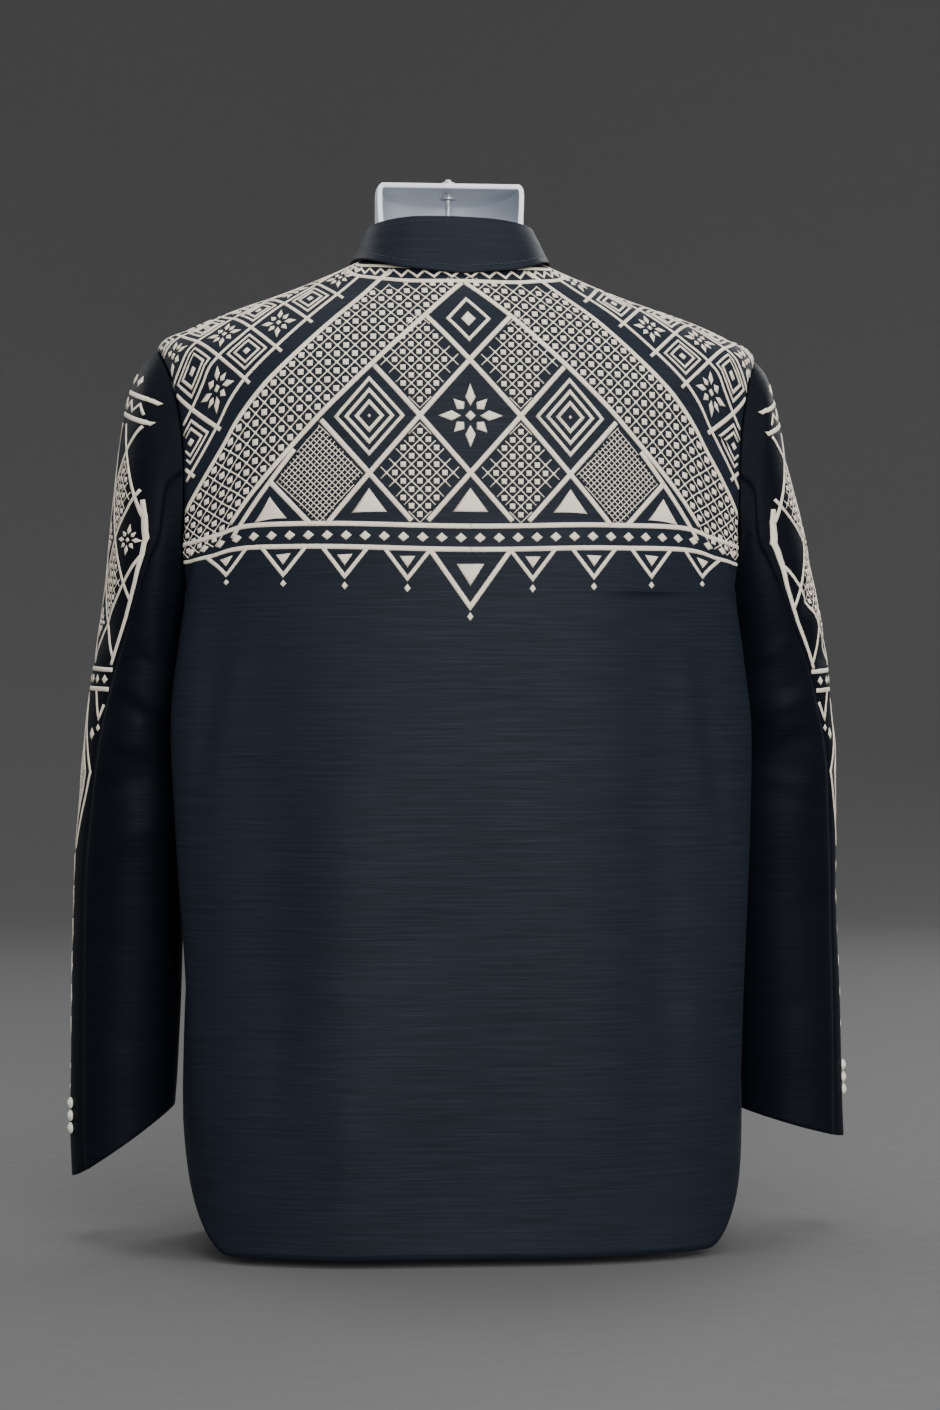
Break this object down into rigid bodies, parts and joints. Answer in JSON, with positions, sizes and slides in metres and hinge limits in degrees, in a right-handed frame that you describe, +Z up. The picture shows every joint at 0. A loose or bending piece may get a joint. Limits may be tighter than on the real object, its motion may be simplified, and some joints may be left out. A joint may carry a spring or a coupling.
{
  "type": "barong coat on a limbless dress form",
  "caption": "Dark barong coat with a folded collar, long sleeves and an embroidered yoke, on a hollow-backed torso form.",
  "frame": {"origin": "middle of the whole object's box in plan, on the plane that the form's base stands on", "axes": "+Z up along the form's height, +X to the wearer's left, +Y to the wearer's back"},
  "size_m": [0.6088, 0.2516, 0.815],
  "materials": {
    "coat_cloth": "dark navy slubbed satin",
    "embroidery_thread": "cream rayon thread",
    "pearl_button": "pearly cream",
    "torso_plastic": "milky white moulded plastic",
    "zinc": "zinc plated"
  },
  "bodies": {
    "root": {"back": "coat_cloth", "front_left": "coat_cloth", "front_right": "coat_cloth", "sleeve_top_left": "coat_cloth", "sleeve_under_left": "coat_cloth", "sleeve_top_right": "coat_cloth", "sleeve_under_right": "coat_cloth", "collar_stand": "coat_cloth", "collar_fall": "coat_cloth", "front_button_1": "pearl_button", "front_button_2": "pearl_button", "front_button_3": "pearl_button", "front_button_4": "pearl_button", "front_button_5": "pearl_button", "front_button_6": "pearl_button", "cuff_button_left_1": "pearl_button", "cuff_button_left_2": "pearl_button", "cuff_button_left_3": "pearl_button", "cuff_button_right_1": "pearl_button", "cuff_button_right_2": "pearl_button", "cuff_button_right_3": "pearl_button", "torso": "torso_plastic", "hanger_stud": "zinc", "hanger_nut_top": "zinc", "hanger_nut_under": "zinc"}
  },
  "joints": []
}
